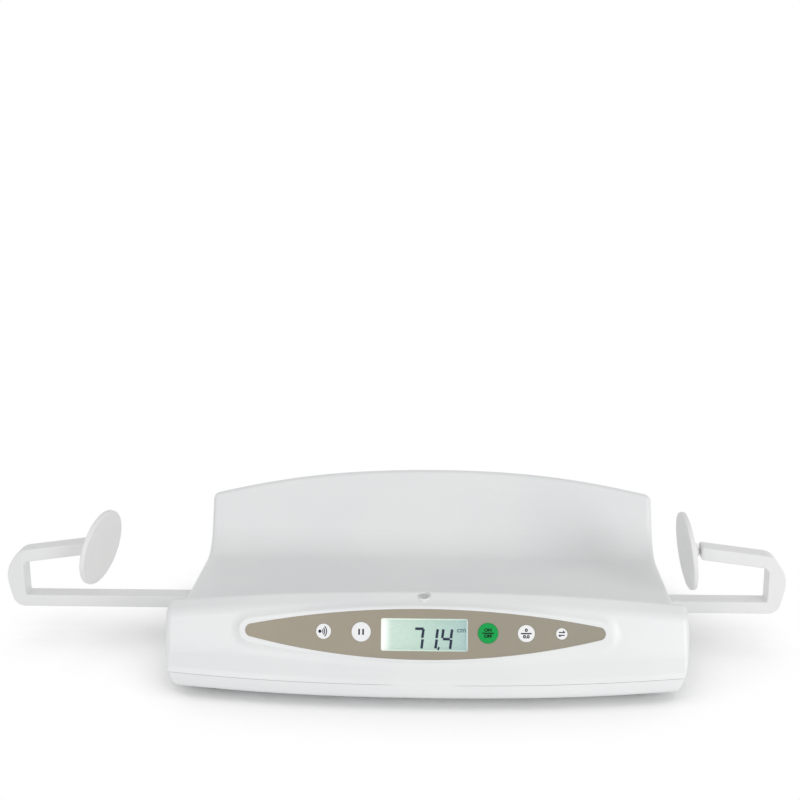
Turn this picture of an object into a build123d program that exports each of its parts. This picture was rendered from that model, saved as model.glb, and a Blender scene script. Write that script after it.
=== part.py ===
from build123d import *
import os
from math import asin, atan2, cos, degrees, pi, radians, sin, sqrt

# Digital baby weighing scale with two measuring arms that slide out of the ends of its tray.
# Millimetres. X runs along the tray, Y from the control panel to the back, Z up from the floor.
# The pieces are drawn about the middle of the case, and placed() moves them all at the end, so
# that the origin lies on the floor under the middle of the scale with its arms as drawn.

# ---- Case -------------------------------------------------------------------------------
half_length = 294.0        # middle of the case to the outer face of either end
end_round = 7.0            # how far the ends' rounding runs along X
end_turn_z = 69.0          # below this height the ends curve inwards
end_turn_radius = 115.0
wall = 2.6
end_wall = 4.5
underside_z = 10.0
seam_z = 28.0              # where the top shell meets the bottom cover
seam_gap = 0.4
tongue = 4.0               # height of the cover's lip inside the top shell

front_y = -184.0           # widest point of the front, low down in the middle
front_bow = 26.0           # how much further back the front lies at the ends
front_z = 26.0
hollow_y = -165.0          # where the front turns steeper, under the control panel
hollow_z = 56.0
brow_y = -145.0            # where the front turns over towards the rim
brow_z = 104.5
front_rim_y = -125.5
front_rim_z = 115.5
front_rim_drop = 21.0      # how much lower the front rim lies at the ends
back_y = 192.0
back_bow = 20.0
back_lean = 6.0            # the back wall leans out by this much
back_rim_z = 157.0
back_rim_drop = 28.0
rim_width = 12.0
rim_round = 4.6
front_rim_round = 6.0
base_round = 7.0
tray_z = 62.0              # flat floor of the tray
tray_front_y = -78.0
tray_back_y = 128.0
tray_front_round = 55.0
tray_back_round = 50.0

# ---- Control panel ----------------------------------------------------------------------
face_tilt = 22.0           # degrees that the panel leans back
face_y = -159.3            # middle of the panel
face_z = 77.8
face_bow_radius = 1887.0
panel_length = 447.0       # between the points where the outline's two arcs would meet
panel_above = 24.4         # height of the upper arc over the line between those points
panel_below = 30.4
panel_rise = 3.0           # that line lies this much above the panel's middle
panel_tip_round = 7.0
panel_thickness = 0.9
panel_sink = 0.4           # the panel lies this much below the bezel round it
panel_edge_gap = 0.15
bezel_width = 3.4
bezel_flank = 24.0         # degrees that the bezel's side spreads
bezel_depth = 26.0
bezel_round = 3.0          # rounding of the bezel's edge next to the panel
panel_backing = 2.3        # wall behind the panel

window_length = 95.5
window_height = 35.2
window_x = 0.5
window_s = -0.6            # up the slope from the panel's middle
window_round = 2.0
window_lip = 2.2           # the lens reaches this far under the panel
window_thickness = 1.5
glass_thickness = 2.2
backlight_thickness = 3.0
fit_gap = 0.2
frame_wall = 2.4
board_depth = 17.5         # outer face of the board, behind the panel's face
board_thickness = 1.6
board_length = 316.0
board_height = 37.0
board_round = 5.0
board_post_radius = 2.5
board_post_x = (-136.0, -90.0, 91.0, 133.0)
board_screw_radius = 1.2

key_s = 2.0                # line of the keys, up the slope from the panel's middle
key_gap = 0.2
key_proud = 0.7
key_round = 0.5
key_travel = 0.7
key_flange = 1.3
key_flange_thickness = 1.0
key_stem_radius = 2.2
switch_side = 6.0
switch_height = 3.5
switch_plunger = 1.6
keys = {                   # name: (place along the panel, diameter)
    "button_measure": (-111.0, 16.8),
    "button_hold": (-69.2, 21.4),
    "button_power": (70.3, 22.1),
    "button_zero": (112.2, 18.6),
    "button_unit": (151.1, 12.5),
}

# ---- Spirit level in the front rim ---------------------------------------------------------
level_y = -133.0
level_top_z = 111.8
level_lean = 9.0           # degrees that the level leans towards the front, with the rim
level_radius = 7.4
level_height = 9.0
vial_radius = 5.8
vial_height = 5.6
vial_sink = 0.4

# ---- Measuring arms -------------------------------------------------------------------------
arm_x_right = 312.3        # where each arm stands, as drawn
arm_x_left = 401.7
arm_x_in = 203.0           # where it stands pushed right in
arm_x_out = 412.0          # and pulled right out
bar_width = 22.6
bar_height = 15.2
bar_z = 39.8               # underside of the slide bar
bar_length = 268.0
bar_wall = 2.0
bar_round = 2.0
bow_seam = 75.2            # arm's zero to the seam between bow and bar
bow_spigot = 24.0
seam_bevel = 0.3           # on both sides of the seam between bow and bar
bow_outer = ((102.1, 112.9, 19.6), (120.7, 85.5, 38.7), (111.1, 39.8, 15.8))   # x, z, radius
bow_inner = ((96.9, 55.0, 1.5), (96.5, 97.3, 8.0))
bow_rise = 0.135           # the upper limb climbs this much per millimetre towards the plate
bow_limb = 16.0            # height of the upper limb
bow_edge = 2.0             # rounding of the bow's long edges
limb_end = 16.0            # arm's zero to the end of the upper limb
plate_radius = 47.0
plate_rim = 6.0
plate_dish = 3.8           # how deep the plate's face is hollowed
plate_dome = 4.0           # how far its back bulges
plate_edge = 1.6
hub_radius = 13.0
hub_end_radius = 7.6
hub_reach = 3.8            # the hub ends this far beyond the ball's centre
ball_x = 9.2               # the ball's centre, from the arm's zero
ball_z = 117.3
ball_offset = 12.0         # the ball's centre lies this far behind the plate's rim plane
ball_radius = 4.6
ball_neck_radius = 2.5
joint_gap = 0.3            # between ball and liner, and between liner and plate
liner_wall = 1.6
socket_opening = 58.0      # half angle, in degrees, of the mouths of liner and hub
rest_yaw = {"left": -12.5, "right": 2.2}      # how the plates are turned, as drawn
rest_tilt = {"left": 12.0, "right": 7.0}

slot_gap = 0.6             # round the bar where it passes through the end of the case
rail_gap = 0.25
rail_wall = 2.2
rail_leg = 4.0
rail_flange = 9.0
pin_radius = 2.0
pin_inset = 5.0            # the stop pin's axis, from the bar's inner end
pin_proud = 2.2
stop_gap = 0.4
strip_width = 10.0
strip_thickness = 0.4
strip_length = 236.0
strip_recess = 0.5
sensor_length = 12.0
sensor_width = 16.0
sensor_head = 5.0
sensor_gap = 0.6
brake_length = 20.0
brake_height = 8.0
brake_gap = 0.1
spring_thickness = 0.6
spring_length = 34.0

# ---- Feet and load cells --------------------------------------------------------------------
foot_x = half_length - 58.0
foot_front_y = -126.0
foot_back_y = 142.0
pad_radius = 17.0
pad_height = 4.2
wheel_radius = 14.0
wheel_z = 4.5
wheel_height = 4.9
wheel_notches = 12
wheel_notch_radius = 1.5
stud_radius = 4.0
stud_top_z = 31.0
spigot_radius = 5.0
spigot_z = 1.8
turning_gap = 0.08
foot_travel = 6.0
cell_side = 36.0
cell_thickness = 3.2
cell_z = 17.0
cell_round = 3.0
cell_slot = 2.2
cell_slot_side = 22.0
cell_hub_radius = 7.5
cell_hub_z = 13.2
cell_hub_height = 10.0
cell_post_radius = 3.0
cell_post_pitch = 29.0
foot_hole_radius = 9.0

# ---- Power ----------------------------------------------------------------------------------
door_front_y = 42.0
door_back_y = 103.0
door_length = 63.0         # along X
door_thickness = 2.2
door_gap = 0.35
hinge_radius = 1.3
hinge_pin_radius = 0.8
hinge_pin_reach = 3.0
hinge_pin_gap = 0.05
latch_length = 12.0
latch_reach = 2.4
battery_wall = 1.6
battery_box_top_z = 32.0
cell_radius = 7.1
cell_length = 48.0
cell_pitch = 15.0
cell_count = 4
contact_thickness = 0.5
contact_width = 9.0
jack_x = -150.0
jack_z = 44.0
jack_length = 14.0
jack_width = 12.0
jack_height = 11.0
jack_flange_radius = 6.5
jack_flange = 1.6
jack_bore_radius = 3.2
jack_pin_radius = 1.0

# ---- Case screws ----------------------------------------------------------------------------
end_screw_x = half_length - 30.0
screw_places = ((-110.0, -159.0), (110.0, -159.0), (-150.0, 90.0), (150.0, 90.0),
                (-end_screw_x, 40.0), (end_screw_x, 40.0))
boss_radius = 4.2
pillar_radius = 5.2
pillar_top_z = 21.0
screw_radius = 1.5
screw_hole_radius = 1.8
screw_head_radius = 3.0
screw_head_height = 2.4
screw_well_radius = 3.6
screw_tip_z = 33.0
screw_shelf = 2.6          # floor under each screw's head

ALONG_X = Plane.YZ         # a sketch drawn on it has x = Y and y = Z


# ---- Section of the case --------------------------------------------------------------------
def bow(x, depth):
    """How far a line that bows by depth has moved at the place x along the case."""
    return depth * (abs(x) / half_length) ** 2.2


def section_corners(x):
    """Corners of the case's outline across the place x, clockwise from the front edge of the base."""
    front = front_y + bow(x, front_bow)
    hollow = hollow_y + bow(x, front_bow - 3)
    brow = brow_y + bow(x, front_bow - 8)
    rim_y = front_rim_y + bow(x, front_bow - 10)
    rim_z = front_rim_z - bow(x, front_rim_drop)
    back = back_y - bow(x, back_bow)
    back_z = back_rim_z - bow(x, back_rim_drop)
    return [
        ((front + 3.5, underside_z), base_round),
        ((front, front_z), 22.0),
        ((hollow, hollow_z - bow(x, 5)), 60.0),
        ((brow, brow_z - bow(x, front_rim_drop - 3)), 16.0),
        ((rim_y, rim_z), front_rim_round),
        ((tray_front_y, tray_z), tray_front_round),
        ((tray_back_y, tray_z), tray_back_round),
        ((back - rim_width, back_z), rim_round),
        ((back, back_z), rim_round),
        ((back - back_lean, underside_z), base_round),
    ]


def inset(corners, depth):
    """The same outline moved inwards by depth, with its rounding to match."""
    moved = []
    for number, ((x, y), radius) in enumerate(corners):
        (last_x, last_y), _ = corners[number - 1]
        (next_x, next_y), _ = corners[(number + 1) % len(corners)]
        before = atan2(y - last_y, x - last_x)
        after = atan2(next_y - y, next_x - x)
        turn = (after - before + pi) % (2 * pi) - pi
        reach = depth / (1 + cos(turn))
        place = (x + reach * (sin(before) + sin(after)), y - reach * (cos(before) + cos(after)))
        rounding = radius + depth if turn > 0 else max(radius - depth, 0.3)
        moved.append((place, rounding))
    return moved


def section(x, depth=0.0, at=None):
    """Face across the case with the outline of the place x, set at the place at along X."""
    corners = section_corners(x)
    if depth:
        corners = inset(corners, depth)
    points = [point for point, _ in corners]
    rounding = [radius for _, radius in corners]
    outline = make_face(FilletPolyline(*points, radius=rounding, close=True))
    return ALONG_X.offset(x if at is None else at) * outline


def end_x(z):
    """Half length of the case at the height z."""
    below_turn = max(end_turn_z - z, 0)
    return half_length - end_turn_radius + sqrt(end_turn_radius**2 - below_turn**2)


def between_ends(depth=0.0):
    """Everything between the two ends of the case, or depth further in."""
    top = 2 * back_rim_z
    low = 0.0
    middle = (end_turn_z + low) / 2
    side_x = [end_x(z) - depth for z in (end_turn_z, middle, low)]
    outline = [Line((-side_x[0], top), (side_x[0], top)), Line((-side_x[2], low), (side_x[2], low))]
    for side in (-1, 1):
        points = [(side * x, z) for x, z in zip(side_x, (end_turn_z, middle, low))]
        outline += [Line((side * side_x[0], top), points[0]), ThreePointArc(*points)]
    return extrude(Plane.XZ * make_face(outline), amount=2 * back_y, both=True)


def case_body():
    """The whole outer form of the case, without the panel's bezel."""
    straight = half_length - end_round
    stations = [straight * share for share in (-1, -0.69, -0.35, 0, 0.35, 0.69, 1)]
    body = loft([section(x) for x in stations])
    steps = ((0.0, 0.0), (0.49, 0.09), (0.84, 0.33), (1.0, 0.66))
    for side in (-1, 1):
        rings = []
        for along, in_by in steps:
            rings.append(section(side * (straight + end_round * along), end_round * in_by))
        body += loft(rings, ruled=True)
    return body & between_ends()


def case_hollow():
    """What is hollow inside the case, without the room behind the panel."""
    straight = half_length - end_round
    stations = [straight * share for share in (-1, -0.69, -0.35, 0, 0.35, 0.69, 1)]
    stretch = half_length / straight
    hollow = loft([section(x, wall, x * stretch) for x in stations])
    return hollow & between_ends(end_wall)


# ---- Spirit level's own frame: z out of the middle of its cup ------------------------------
level_plane = Plane(
    origin=(0, level_y, level_top_z),
    x_dir=(1, 0, 0),
    z_dir=(0, -sin(radians(level_lean)), cos(radians(level_lean))),
)

# ---- Control panel's own frame: x along it, y up its slope, z out of it --------------------
face_plane = Plane(
    origin=(0, face_y, face_z),
    x_dir=(1, 0, 0),
    z_dir=(0, -cos(radians(face_tilt)), sin(radians(face_tilt))),
)


def face_drop(x):
    """How far the bowed face lies behind its middle at the place x along it."""
    return face_bow_radius - sqrt(face_bow_radius**2 - x**2)


def behind_face(depth, span=120.0):
    """Everything that lies at least depth behind the bowed face, in the panel's own frame."""
    drum = Rot(90, 0, 0) * Cylinder(face_bow_radius - depth, span)
    return Pos(0, 0, -face_bow_radius) * drum


def panel_outline(grow=0.0):
    """Pointed oval of the control panel, or one that lies grow outside it."""
    half = panel_length / 2
    upper = (half**2 + panel_above**2) / (2 * panel_above)
    lower = (half**2 + panel_below**2) / (2 * panel_below)
    oval = Pos(0, panel_rise + panel_above - upper) * Circle(upper)
    oval &= Pos(0, panel_rise - panel_below + lower) * Circle(lower)
    oval = fillet(oval.vertices(), panel_tip_round)
    return offset(oval, grow) if grow else oval


def window_outline(grow=0.0):
    size = RectangleRounded(window_length + 2 * grow, window_height + 2 * grow, window_round)
    return Pos(window_x, window_s) * size


def bezel():
    """The raised bezel that carries the panel, on the bowed face."""
    outline = panel_outline(bezel_width)
    block = extrude(outline, amount=-bezel_depth, taper=-bezel_flank)
    block += extrude(outline, amount=panel_sink + 3)
    block &= behind_face(0)
    lip = [e for e in block.edges() if abs(e.center().Z + face_drop(e.center().X)) < 0.15]
    return face_plane * fillet(lip, bezel_round)


def panel_room():
    """Room for the board and the keys behind the bezel."""
    depth = panel_sink + panel_thickness + panel_backing
    block = extrude(panel_outline(-0.5), amount=-bezel_depth)
    return face_plane * (block & behind_face(depth))


def panel_recess():
    block = extrude(panel_outline(panel_edge_gap), amount=-bezel_depth, both=True)
    return face_plane * (block & behind_face(-3) - behind_face(panel_sink + panel_thickness))


def key_hole(name, gap):
    x, diameter = keys[name]
    return Pos(x, key_s) * Cylinder(diameter / 2 + gap, 2 * bezel_depth)


# ---- Case shells ------------------------------------------------------------------------------
def rail_inner_x():
    """Inner end of each rail: the stop pin meets it with its arm pulled right out."""
    return arm_x_out + bow_seam - bar_length + pin_inset + pin_radius + stop_gap


def bar_mid_z():
    return bar_z + bar_height / 2


def arm_slot(side):
    size = (4 * end_wall + end_round, bar_width + 2 * slot_gap, bar_height + 2 * slot_gap)
    return Pos(side * half_length, 0, bar_mid_z()) * Box(*size)


def above(z):
    return Pos(0, 0, z) * Box(1000, 1000, 400, align=(Align.CENTER, Align.CENTER, Align.MIN))


def below(z):
    return Pos(0, 0, z) * Box(1000, 1000, 400, align=(Align.CENTER, Align.CENTER, Align.MAX))


def upright(radius, low, high, place):
    x, y = place
    post = Cylinder(radius, high - low, align=(Align.CENTER, Align.CENTER, Align.MIN))
    return Pos(x, y, low) * post


def jack_y():
    """Outer face of the back wall at the height and place of the power inlet."""
    back = back_y - bow(jack_x, back_bow)
    rim = back_rim_z - bow(jack_x, back_rim_drop)
    return back - back_lean * (rim - jack_z) / (rim - underside_z)


def top_shell(body, hollow):
    shell = body + bezel()
    shell -= hollow + panel_room()
    shell &= above(seam_z)
    for place in screw_places:
        boss = upright(boss_radius, pillar_top_z, back_rim_z, place)
        boss = boss & body & below(tray_z)
        shell += boss - upright(screw_radius - 0.1, underside_z, screw_tip_z + 1, place)
    for x in board_post_x:
        post_length = board_depth - panel_sink - panel_thickness - face_drop(x)
        post = Pos(x, key_s, -board_depth) * Cylinder(
            board_post_radius, post_length, align=(Align.CENTER, Align.CENTER, Align.MIN)
        )
        hole = Pos(x, key_s, -board_depth) * Cylinder(board_screw_radius - 0.1, 12)
        shell += face_plane * (post - hole)
    shell -= panel_recess()
    shell -= face_plane * extrude(window_outline(window_lip + fit_gap), amount=bezel_depth, both=True)
    for name in keys:
        shell -= face_plane * key_hole(name, key_gap)
    for side in (-1, 1):
        shell -= arm_slot(side)
    shell -= level_plane * upright(level_radius, -level_height, level_height, (0, 0))
    shell -= Pos(jack_x, jack_y(), jack_z) * Rot(90, 0, 0) * Cylinder(jack_flange_radius + fit_gap, 20)
    return shell


def door_opening():
    length = door_length + 2 * door_gap
    depth = door_back_y - door_front_y + 2 * door_gap + hinge_radius
    size = Box(length, depth, 4 * wall, align=(Align.CENTER, Align.MIN, Align.CENTER))
    return Pos(0, door_front_y - door_gap, underside_z) * size


def bottom_cover(body, hollow):
    rim = seam_z - seam_gap
    cover = (body - hollow) & below(rim)
    lip = (hollow & below(rim + tongue) & above(rim - tongue))
    lip_end = end_x(seam_z) - end_wall - wall
    inner = loft([section(x, 2 * wall) for x in (-lip_end, 0, lip_end)])
    cover += lip - inner
    for place in screw_places:
        pillar = upright(pillar_radius, underside_z, pillar_top_z - fit_gap, place) & body
        cover += pillar
        cover -= upright(screw_hole_radius, 0, pillar_top_z + 1, place)
        cover -= upright(screw_well_radius, 0, underside_z + screw_shelf, place)
        cover -= upright(screw_well_radius, 0, pillar_top_z - fit_gap - screw_shelf, place)
    for x, y in foot_places():
        cover -= upright(foot_hole_radius, 0, seam_z, (x, y))
        for dx in (-1, 1):
            for dy in (-1, 1):
                corner = (x + dx * cell_post_pitch / 2, y + dy * cell_post_pitch / 2)
                cover += upright(cell_post_radius, underside_z + wall / 2, cell_z, corner)
    cover -= door_opening()
    pin = Rot(0, 90, 0) * Cylinder(hinge_pin_radius, door_length + 2 * door_gap + 2 * hinge_pin_reach)
    cover -= Pos(0, door_back_y, underside_z + hinge_radius) * pin
    return cover


# ---- Panel, display and board ---------------------------------------------------------------
def control_panel():
    plate = extrude(panel_outline(), amount=-bezel_depth, both=True)
    plate &= behind_face(panel_sink) - behind_face(panel_sink + panel_thickness)
    plate -= extrude(window_outline(), amount=bezel_depth, both=True)
    for name in keys:
        plate -= key_hole(name, key_gap)
    return face_plane * plate


def display_top():
    """Outer face of the flat lens, just behind the bowed panel."""
    edge = window_length / 2 + window_lip + abs(window_x)
    return -(panel_sink + panel_thickness + face_drop(edge) + 0.05)


def slab(outline, top, thickness):
    return face_plane * (Pos(0, 0, top - thickness) * extrude(outline, amount=thickness))


def display_window():
    return slab(window_outline(window_lip), display_top(), window_thickness)


def glass_top():
    return display_top() - window_thickness - 0.1


def lcd_glass():
    return slab(window_outline(window_lip - 0.4), glass_top(), glass_thickness)


def lcd_backlight():
    top = glass_top() - glass_thickness - 0.1
    return slab(window_outline(window_lip - 0.4), top, backlight_thickness)


def lcd_frame():
    reach = window_lip - 0.4 + fit_gap + frame_wall
    edge = window_length / 2 + abs(window_x) + reach
    top = -(panel_sink + panel_thickness + panel_backing + face_drop(edge) + 0.05)
    depth = board_depth + top
    frame = slab(window_outline(reach), top, depth)
    frame -= slab(window_outline(window_lip - 0.4 + fit_gap), top + 1, depth + 2)
    shelf_top = glass_top() - glass_thickness - backlight_thickness - 0.2
    shelf = slab(window_outline(window_lip), shelf_top, 1.6)
    shelf -= slab(window_outline(-frame_wall), shelf_top + 1, 4)
    return frame + shelf


def main_board():
    board = Pos(0, 0) * RectangleRounded(board_length, board_height, board_round)
    for x in board_post_x:
        board -= Pos(x, key_s) * Circle(board_screw_radius + 0.1)
    return slab(board, -board_depth, board_thickness)


def board_screws():
    screws = []
    for x in board_post_x:
        shank = Pos(x, key_s, -board_depth) * Cylinder(board_screw_radius - 0.1, 8)
        head_z = -board_depth - board_thickness
        head = Pos(x, key_s, head_z) * Cylinder(2.4, 1.6, align=(Align.CENTER, Align.CENTER, Align.MAX))
        screws.append(face_plane * (shank + fillet(head.edges().group_by(Axis.Z)[0], 0.6)))
    return screws


def key_switches():
    switches = []
    for x, _ in keys.values():
        low = (Align.CENTER, Align.CENTER, Align.MIN)
        case = Pos(x, key_s, -board_depth) * Box(switch_side, switch_side, switch_height, align=low)
        case = fillet(case.edges().filter_by(Axis.Z), 0.6)
        plunger = Pos(x, key_s, -board_depth + switch_height) * Cylinder(switch_plunger, 0.8, align=low)
        switches.append(face_plane * (case + plunger))
    return switches


def key(name):
    x, diameter = keys[name]
    radius = diameter / 2
    wall_back = panel_sink + panel_thickness + panel_backing
    flange_top = -(wall_back + face_drop(abs(x) + radius + key_flange) + 0.1)
    flange_low = flange_top - key_flange_thickness
    stem_low = -board_depth + switch_height + 0.8 + key_travel + 0.1
    from_below = (Align.CENTER, Align.CENTER, Align.MIN)
    cap = Pos(x, key_s, flange_low) * Cylinder(radius, bezel_depth, align=from_below)
    cap &= behind_face(panel_sink - key_proud)
    cap = fillet(cap.edges().sort_by(Axis.Z)[-1], key_round)
    flange = Cylinder(radius + key_flange, key_flange_thickness, align=from_below)
    stem = Cylinder(key_stem_radius, flange_low - stem_low, align=from_below)
    return face_plane * (cap + Pos(x, key_s, flange_low) * flange + Pos(x, key_s, stem_low) * stem)


# ---- Spirit level -----------------------------------------------------------------------------
def level_cup():
    cup = upright(level_radius - 0.1, -level_height, 0, (0, 0))
    cup = fillet(cup.edges().group_by(Axis.Z)[-1], 0.8)
    cup -= upright(vial_radius, -vial_sink - vial_height, 1, (0, 0))
    return level_plane * cup


def level_vial():
    vial = upright(vial_radius - 0.05, -vial_sink - vial_height, -vial_sink, (0, 0))
    return level_plane * fillet(vial.edges().group_by(Axis.Z)[-1], 0.6)


# ---- Measuring arms: drawn for the right-hand side, outwards from each arm's own zero ---------
def on_side(shape, side):
    return shape if side == "right" else mirror(shape, Plane.YZ)


def arm_x(side):
    return arm_x_right if side == "right" else arm_x_left


def bar_inner_x(side):
    return arm_x(side) + bow_seam - bar_length


def seam_edges(piece, x):
    """Edges of a piece's outer contour where it meets the seam across the arm."""
    end = piece.faces().filter_by(lambda f: abs(f.center().X - x) < 0.01).sort_by(Axis.X)[-1]
    return end.outer_wire().edges()


def arm_bar(side):
    seam = arm_x(side) + bow_seam
    inner = bar_inner_x(side)
    face = RectangleRounded(bar_width, bar_height, bar_round)
    face -= Rectangle(bar_width - 2 * bar_wall, bar_height - 2 * bar_wall)
    bar = Pos(inner, 0, bar_mid_z()) * extrude(ALONG_X * face, amount=bar_length)
    bar = chamfer(seam_edges(bar, seam), seam_bevel)
    bar -= Pos(inner + pin_inset, 0, bar_mid_z()) * Rot(90, 0, 0) * Cylinder(pin_radius, 2 * bar_width)
    low = (Align.MIN, Align.CENTER, Align.CENTER)
    recess = Box(strip_length + 0.4, strip_width + 0.4, 2 * strip_recess, align=low)
    bar -= Pos(inner + 2 * pin_inset, 0, bar_z) * recess
    return on_side(bar, side)


def encoder_strip(side):
    low = (Align.MIN, Align.CENTER, Align.MAX)
    strip = Box(strip_length, strip_width, strip_thickness, align=low)
    place = Pos(bar_inner_x(side) + 2 * pin_inset + 0.2, 0, bar_z + strip_recess)
    return on_side(place * strip, side)


def stop_pin(side):
    length = bar_width + 2 * pin_proud
    pin = Rot(90, 0, 0) * Cylinder(pin_radius - 0.02, length)
    pin = chamfer(pin.edges(), 0.4)
    return on_side(Pos(bar_inner_x(side) + pin_inset, 0, bar_mid_z()) * pin, side)


def limb_top(x):
    """Height of the upper limb's top edge at x from the plate's middle."""
    corner_x, corner_z, _ = bow_outer[0]
    return corner_z + bow_rise * (corner_x - x)


def bow_piece(side):
    inner_low, inner_high = bow_inner
    ring = [(bow_seam, bar_z, 0), (bow_outer[2]), (bow_outer[1]), (bow_outer[0])]
    ring += [(limb_end, limb_top(limb_end), 3.0), (limb_end, limb_top(limb_end) - bow_limb, 3.0)]
    ring += [(inner_high[0], limb_top(inner_high[0]) - bow_limb, inner_high[2]), inner_low]
    ring += [(bow_seam, inner_low[1], 0)]
    outline = make_face(Polyline(*[(x, z) for x, z, _ in ring], close=True))
    for x, z, radius in ring:
        if radius:
            corner = outline.vertices().sort_by_distance((x, z, 0))[0]
            outline = fillet(corner, radius)
    sheet = Plane.XZ.offset(-bar_width / 2) * outline
    piece = extrude(sheet, amount=bar_width)
    by_side = piece.edges().group_by(Axis.Y)
    long_edges = [e for e in by_side[0] + by_side[-1] if abs(e.center().X - bow_seam) > 0.01]
    piece = fillet(long_edges, bow_edge)
    piece = chamfer(seam_edges(piece, bow_seam), seam_bevel)
    spigot = Box(bow_spigot + 4, bar_width - 2 * bar_wall - 0.1, bar_height - 2 * bar_wall - 0.1)
    piece += Pos(bow_seam - bow_spigot / 2 + 2, 0, bar_mid_z()) * spigot
    return on_side(Pos(arm_x(side), 0, 0) * piece, side)


def ball_centre(side):
    """Centre of the ball joint, on the right-hand side of the scale's middle."""
    return (arm_x(side) + ball_x, 0, ball_z)


def plate_frame(side):
    """Moves what is drawn about the ball's centre, facing along -X, to how the plate is turned."""
    yaw = rest_yaw[side] if side == "right" else -rest_yaw[side]
    return Pos(*ball_centre(side)) * Rot(0, 0, yaw) * Rot(0, -rest_tilt[side], 0)


def ball_stud(side):
    x, y, z = ball_centre(side)
    ball = Pos(x, y, z) * Sphere(ball_radius)
    root_x = arm_x(side) + limb_end
    neck = Pos((x + root_x) / 2 + 1, y, z) * Rot(0, 90, 0) * Cylinder(ball_neck_radius, root_x - x + 2)
    return on_side(ball + (neck - Pos(root_x + 50, y, z) * Box(100, 60, 60)), side)


def round_the_axis(centre, radius, start, end):
    """Arc about a point on the plate's axis, from one angle to another in degrees."""
    return CenterArc((centre, 0), radius, start, end - start)


def swivel_liner(side):
    """Cup round the ball; it turns about the upright axis and carries the plate's tilt."""
    inner = ball_radius + joint_gap
    outer = inner + liner_wall
    along = cos(radians(socket_opening))
    out = sin(radians(socket_opening))
    profile = [
        round_the_axis(0, inner, socket_opening, 180),
        round_the_axis(0, outer, socket_opening, 180),
        Line((inner * along, inner * out), (outer * along, outer * out)),
        Line((-outer, 0), (-inner, 0)),
    ]
    liner = revolve(Plane.XZ * make_face(profile), Axis.X)
    yaw = rest_yaw[side] if side == "right" else -rest_yaw[side]
    return on_side(Pos(*ball_centre(side)) * Rot(0, 0, yaw) * liner, side)


def plate_profile():
    """Half section of the round plate and its hub, from the ball's centre along the plate's axis."""
    face = -ball_offset
    back = face + plate_rim
    socket = ball_radius + 2 * joint_gap + liner_wall
    along = cos(radians(socket_opening))
    out = sin(radians(socket_opening))
    dish = (plate_radius**2 + plate_dish**2) / (2 * plate_dish)
    dish_centre = face + plate_dish - dish
    dome = (plate_radius**2 + plate_dome**2) / (2 * plate_dome)
    dome_centre = back + plate_dome - dome
    hub_angle = asin(hub_radius / dome)
    mouth = (hub_reach, hub_reach * out / along)
    return [
        round_the_axis(dish_centre, dish, 0, degrees(asin(plate_radius / dish))),
        Line((face, plate_radius), (back, plate_radius)),
        round_the_axis(dome_centre, dome, degrees(hub_angle), degrees(asin(plate_radius / dome))),
        Line((dome_centre + dome * cos(hub_angle), hub_radius), (hub_reach, hub_end_radius)),
        Line((hub_reach, hub_end_radius), mouth),
        Line(mouth, (socket * along, socket * out)),
        round_the_axis(0, socket, socket_opening, 180),
        Line((-socket, 0), (face + plate_dish, 0)),
    ]


def end_plate(side):
    """Dished round plate with the hub that holds the ball joint."""
    section_face = make_face(plate_profile())
    rim = [v for v in section_face.vertices() if v.Y > plate_radius - 0.1]
    section_face = fillet(rim, plate_edge)
    hub = [v for v in section_face.vertices() if abs(v.Y - hub_end_radius) < 0.1]
    section_face = fillet(hub, 0.8)
    return on_side(plate_frame(side) * revolve(Plane.XZ * section_face, Axis.X), side)


# ---- Inside the case: rails, brakes and sensors -----------------------------------------------
def rail_span():
    return rail_inner_x(), end_x(bar_z - rail_gap - rail_wall) - end_wall - fit_gap


def slide_rail(side):
    start, end = rail_span()
    inner_width = bar_width + 2 * rail_gap
    inner_height = bar_height + 2 * rail_gap
    tube = RectangleRounded(inner_width + 2 * rail_wall, inner_height + 2 * rail_wall, 2)
    tube -= Rectangle(inner_width, inner_height)
    rail = Pos(start, 0, bar_mid_z()) * extrude(ALONG_X * tube, amount=end - start)
    leg_top = bar_z - rail_gap - rail_wall / 2
    floor = underside_z + wall
    from_below = (Align.CENTER, Align.CENTER, Align.MIN)
    for x in (start + rail_leg, end - 4 * rail_leg):
        leg = Box(rail_leg, inner_width, leg_top - floor, align=from_below)
        foot = Box(rail_leg + rail_flange, inner_width, rail_wall, align=from_below)
        rail += Pos(x, 0, floor) * (leg + foot)
    window = Box(brake_length + 0.4, 4 * rail_wall, brake_height + 0.4)
    rail -= Pos(brake_x(), bar_width / 2 + rail_gap + rail_wall, bar_mid_z()) * window
    return on_side(rail, side)


def brake_x():
    start, end = rail_span()
    return (start + end) / 2


def brake_pad(side):
    face_y_bar = bar_width / 2 + brake_gap
    depth = rail_gap + rail_wall - brake_gap
    pad = Box(brake_length, depth, brake_height, align=(Align.CENTER, Align.MIN, Align.CENTER))
    return on_side(Pos(brake_x(), face_y_bar, bar_mid_z()) * pad, side)


def brake_spring(side):
    start_y = bar_width / 2 + rail_gap + rail_wall
    outwards = (Align.CENTER, Align.MIN, Align.CENTER)
    leaf = Box(spring_length, spring_thickness, brake_height, align=outwards)
    return on_side(Pos(brake_x(), start_y, bar_mid_z()) * leaf, side)


def position_sensor(side):
    low = (Align.MAX, Align.CENTER, Align.MIN)
    top = bar_z - sensor_gap
    x = rail_inner_x() - 3.0
    head = Pos(x, 0, top - sensor_head) * Box(sensor_length, sensor_width, sensor_head, align=low)
    floor = underside_z + wall
    post = Pos(x - 3, 0, floor) * Box(sensor_length - 6, sensor_width - 4, top - floor - 1, align=low)
    foot = Pos(x, 0, floor) * Box(sensor_length, sensor_width, 2, align=low)
    return on_side(head + post + foot, side)


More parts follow.
